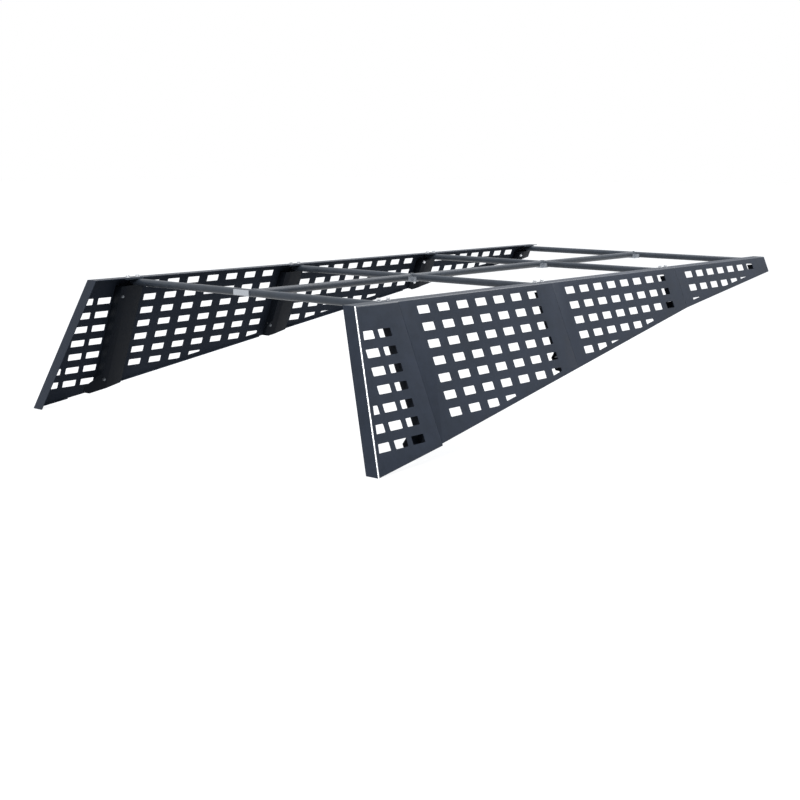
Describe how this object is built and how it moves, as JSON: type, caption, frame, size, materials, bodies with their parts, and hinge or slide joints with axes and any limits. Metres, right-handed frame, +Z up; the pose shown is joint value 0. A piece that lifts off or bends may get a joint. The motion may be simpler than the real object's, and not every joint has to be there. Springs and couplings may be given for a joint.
{
  "type": "flat platform roof rack",
  "caption": "Level open tube frame between two splayed, slotted sheet-metal sides that deepen towards the tail, held on folded posts whose feet bolt to a vehicle.",
  "frame": {"origin": "on the inboard face of the first right foot, behind its bolt hole", "axes": "+X forward to the low nose end, +Y to the left, +Z up, square to the level top"},
  "size_m": [2.976, 1.8247, 0.5052],
  "materials": {
    "skin_coat": "satin dark slate powder coat",
    "post_coat": "satin black powder coat",
    "bar_coat": "satin grey powder coat on round tube",
    "bright_zinc": "bright zinc plate"
  },
  "bodies": {
    "root": {"skin_right_tail": "skin_coat", "skin_right_rear": "skin_coat", "skin_right_front": "skin_coat", "skin_right_nose": "skin_coat", "skin_left_tail": "skin_coat", "skin_left_rear": "skin_coat", "skin_left_front": "skin_coat", "skin_left_nose": "skin_coat", "post_right_1": "post_coat", "post_right_2": "post_coat", "post_right_3": "post_coat", "post_right_4": "post_coat", "post_left_1": "post_coat", "post_left_2": "post_coat", "post_left_3": "post_coat", "post_left_4": "post_coat", "crossbar_1": "bar_coat", "crossbar_2": "bar_coat", "crossbar_3": "bar_coat", "crossbar_4": "bar_coat", "spine_1": "bar_coat", "spine_2": "bar_coat", "spine_3": "bar_coat", "spine_bracket_1": "bright_zinc", "spine_bracket_2": "bright_zinc", "spine_bracket_3": "bright_zinc", "spine_bracket_4": "bright_zinc"}
  },
  "joints": []
}
